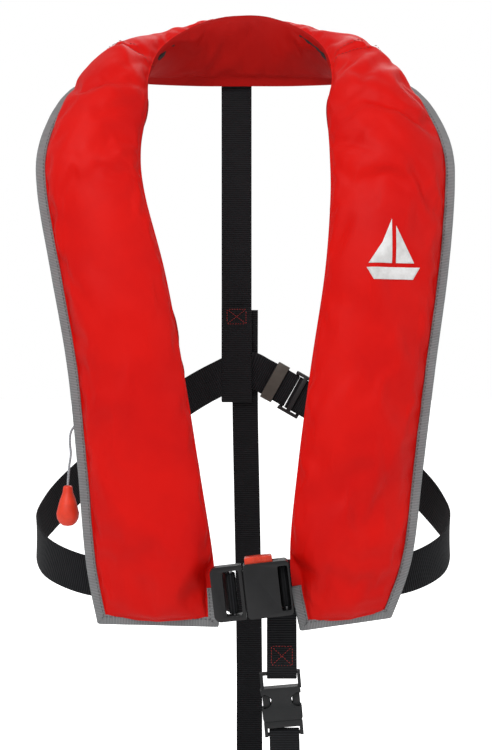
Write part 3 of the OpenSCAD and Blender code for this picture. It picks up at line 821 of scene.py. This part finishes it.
BACK_STRAP_X = -10
BACK_STRAP_SIDE = [(111.7, 37), (115.4, 27), (118.5, 0), (121, -60), (122.5, -150), (123.4, -230),
                   (123.4, -300), (123.4, -325), (122.6, -335), (120, -339), (117.4, -335), (116.6, -325),
                   (116.6, -300), (117.4, -270), (119.4, -250), (120.8, -228)]
BACK_STRAP = [(BACK_STRAP_X, y, z) for y, z in BACK_STRAP_SIDE]
BELT_RIGHT = [(54, 112.4, -327.3), (22, 118, -309), (0, 120, -300), (-30, 116.5, -312), (-70, 110, -335),
              (-130, 88, -378), (-186, 45, -428), (-214, 15, -460), (-222, -18, -480), (-206, -55, -499),
              (-165, -80, -513), (-110, -90, -519), (-70, -98, -522), (-43, -103.4, -522.5)]
BELT_LEFT = [(54.6, 112.3, -327.6), (86, 106.8, -345.6), (135, 86, -380), (184, 45, -424), (210, 15, -456),
             (218, -18, -477), (204, -55, -497), (165, -80, -512), (110, -90, -517), (72, -98.4, -518),
             (58, -102.4, -518)]
CROTCH = [(40, -109.6, -706), (40, -107.6, -686), (39.5, -108, -668), (39.5, -112, -663.4),
          (39.5, -116, -668), (40, -114.6, -686), (40, -112.6, -706), (40, -111, -735), (38, -100, -775),
          (31, -66, -822), (21, 0, -848), (11, 66, -828), (6, 104, -780), (5, 118, -730), (5, 124, -660),
          (4, 126, -560), (2, 126.3, -450), (0, 126.3, -340), (0, 126.3, -232)]
CROTCH_LOOP = [(37, -103.6, -552), (37, -101.4, -540), (37, -101.2, -504), (37, -104.5, -495),
               (37, -108.2, -504), (37, -108.2, -545), (37, -112.5, -585), (37, -116.2, -604),
               (37, -112, -612.6), (37, -107.8, -604), (37, -107.6, -585), (37, -105.6, -562)]
TONGUE_WEB = [(-42, -103.2), (-28, -104.4), (-19.6, -110), (-15, -122), (-9.6, -134), (-9, -142),
              (-12.5, -145.4), (-16.2, -142), (-17, -134), (-19.4, -125), (-21.3, -117.5)]
HOUSING_WEB = [(57, -102.8), (40, -104.8), (26, -106), (18.5, -112), (20, -119), (27.5, -124.4),
               (34.6, -128.6), (35.6, -135), (35.7, -141), (39, -144.8), (42.3, -141), (42.1, -133)]
TILT = math.radians(6.5)
BUCKLE_X = np.array([math.cos(TILT), 0, math.sin(TILT)])
BUCKLE_UP = np.array([-math.sin(TILT), 0, math.cos(TILT)])


def strap(name, route, wide, width, replaced, step=3 * MM, body="root"):
    piece = webbing(name, spline(np.array(route) * MM, 10), wide, width, WEB, body, step=step)
    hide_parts(*replaced)
    return piece


def in_buckle_plane(route, height):
    return [tuple(np.array([0, y, height]) + BUCKLE_X * x) for x, y in route]


BELT_W = 0.040
BACK_STRAP_W = 0.035
CROTCH_W = 0.030

strap("back_strap_web", BACK_STRAP, (1, 0, 0), BACK_STRAP_W, ["back_strap"], 1.5 * MM)
strap("waist_belt_right_web", BELT_RIGHT, belt_across, BELT_W, ["waist_belt_right"])
strap("waist_belt_left_web", BELT_LEFT, belt_across, BELT_W, ["waist_belt_left"])
strap("crotch_loop_web", CROTCH_LOOP, (1, 0, 0), CROTCH_W, ["crotch_loop"], 1 * MM)
crotch = strap("crotch_strap_web", CROTCH, (1, 0, 0), CROTCH_W, ["crotch_strap", "crotch_strap_end"],
               1.2 * MM, None)
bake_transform(crotch)
tongue_web = strap("tongue_web", in_buckle_plane(TONGUE_WEB, -521.5), BUCKLE_UP, BELT_W, ["tongue_webbing"],
                   0.8 * MM, None)
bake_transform(tongue_web)
strap("housing_web", in_buckle_plane(HOUSING_WEB, -520), BUCKLE_UP, BELT_W, ["housing_webbing"], 0.8 * MM)


def box_x(name, centre, right, up, width, height):
    """Red box-and-cross stitching on a strap."""
    c, r, v = np.array(centre), np.array(right, float) * width / 2, np.array(up, float) * height / 2
    n = unit(np.cross(r, v))
    a, b, d, e = c - r - v, c + r - v, c + r + v, c - r + v
    for k, (p, q) in enumerate([(a, b), (b, d), (d, e), (e, a), (a, d), (b, e)]):
        row = [p + (q - p) * i / 8 for i in range(9)]
        piece = stitch_row(f"{name}_{k}", row, [n] * 9, RED_THREAD, length=1.9 * MM, gap=1.0 * MM,
                           radius=0.36 * MM)


box_x("back_strap_stitch", (-0.010, 0.1187, -0.240), (1, 0, 0), (0, 0, 1), 0.022, 0.017)
box_x("crotch_loop_stitch", (0.037, -0.1147, -0.590), (1, 0, 0), (0, 0.16, 0.987), 0.021, 0.019)


# ---------------------------------------------------------------- buckles, adjuster and keeper
for part_name, bevel_mm, look in (
        ("buckle_tongue", 1.0, BUCKLE), ("housing_front", 1.0, BUCKLE), ("housing_back", 1.0, BUCKLE),
        ("release_button", 1.2, BUTTON), ("crotch_buckle_socket", 0.7, MATT),
        ("crotch_buckle_plug", 0.7, MATT), ("right_prong", 0.7, MATT), ("left_prong", 0.7, MATT),
        ("belt_adjuster", 0.6, MATT), ("belt_keeper", 0.4, DRAB)):
    refined(part_name, bevel_mm * MM, look)


# ---------------------------------------------------------------- springs
def sprung(name, axis):
    """A coil spring copied from its CAD part and fixed to the root."""
    source = frame["nodes"][name]
    mesh = source.data.copy()
    piece = bpy.data.objects.new(name + "_coil", mesh)
    bpy.context.scene.collection.objects.link(piece)
    points = np.array([v.co[:] for v in mesh.vertices])
    far = points @ np.array(axis)
    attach(piece, "root")
    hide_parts(name)
    tuple(points[far.argmax()])
    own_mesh(piece)


INFLATOR_AXIS = unit(np.array((math.sin(math.radians(-10)), 0, math.cos(math.radians(10)))))
ORAL_AXIS = unit(np.array((math.sin(math.radians(8)), 0, math.cos(math.radians(8)))))
sprung("pin_spring", tuple(INFLATOR_AXIS))
sprung("valve_spring", tuple(-ORAL_AXIS))


# ---------------------------------------------------------------- studio
def area_light(name, location, target, size, power):
    data = bpy.data.lights.new(name, "AREA")
    data.size = size
    data.energy = power
    lamp = bpy.data.objects.new(name, data)
    lamp.location = location
    way = Vector(target) - Vector(location)
    lamp.rotation_euler = way.to_track_quat("-Z", "Y").to_euler()
    bpy.context.scene.collection.objects.link(lamp)


FLOOR_HALF = 30
FLOOR_GAP = 0.01


def studio():
    floor_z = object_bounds()[0][2] - FLOOR_GAP
    mesh = bpy.data.meshes.new("floor")
    corners = [(x * FLOOR_HALF, y * FLOOR_HALF, floor_z) for x, y in ((-1, -1), (1, -1), (1, 1), (-1, 1))]
    mesh.from_pydata(corners, [], [(0, 1, 2, 3)])
    floor = bpy.data.objects.new("floor", mesh)
    bpy.context.scene.collection.objects.link(floor)
    pale = material("pale_floor", (0.93, 0.93, 0.93), 0.9)
    shader_of(pale).inputs["Emission Color"].default_value = (1, 1, 1, 1)
    join(pale, node(pale, "ShaderNodeLightPath"), "Is Camera Ray", shader_of(pale), "Emission Strength")
    mesh.materials.append(pale)
    floor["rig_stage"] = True
    world = bpy.data.worlds.new("studio")
    world.use_nodes = True
    sky = world.node_tree.nodes["Background"]
    sky.inputs["Color"].default_value = (1, 1, 1, 1)
    seen = world.node_tree.nodes.new("ShaderNodeLightPath")
    power = world.node_tree.nodes.new("ShaderNodeMapRange")
    power.inputs["To Min"].default_value = 0.42
    power.inputs["To Max"].default_value = 1.0
    world.node_tree.links.new(seen.outputs["Is Camera Ray"], power.inputs["Value"])
    world.node_tree.links.new(power.outputs[0], sky.inputs["Strength"])
    bpy.context.scene.world = world
    area_light("key", (-1.0, -2.1, 1.7), (0, 0, -0.25), 1.1, 40)
    area_light("side", (2.2, -1.2, 0.5), (0, 0, -0.3), 1.0, 9)
    area_light("back", (0.4, 2.4, 1.4), (0, 0, -0.2), 1.5, 18)


studio()
bpy.context.scene.view_settings.view_transform = "Standard"
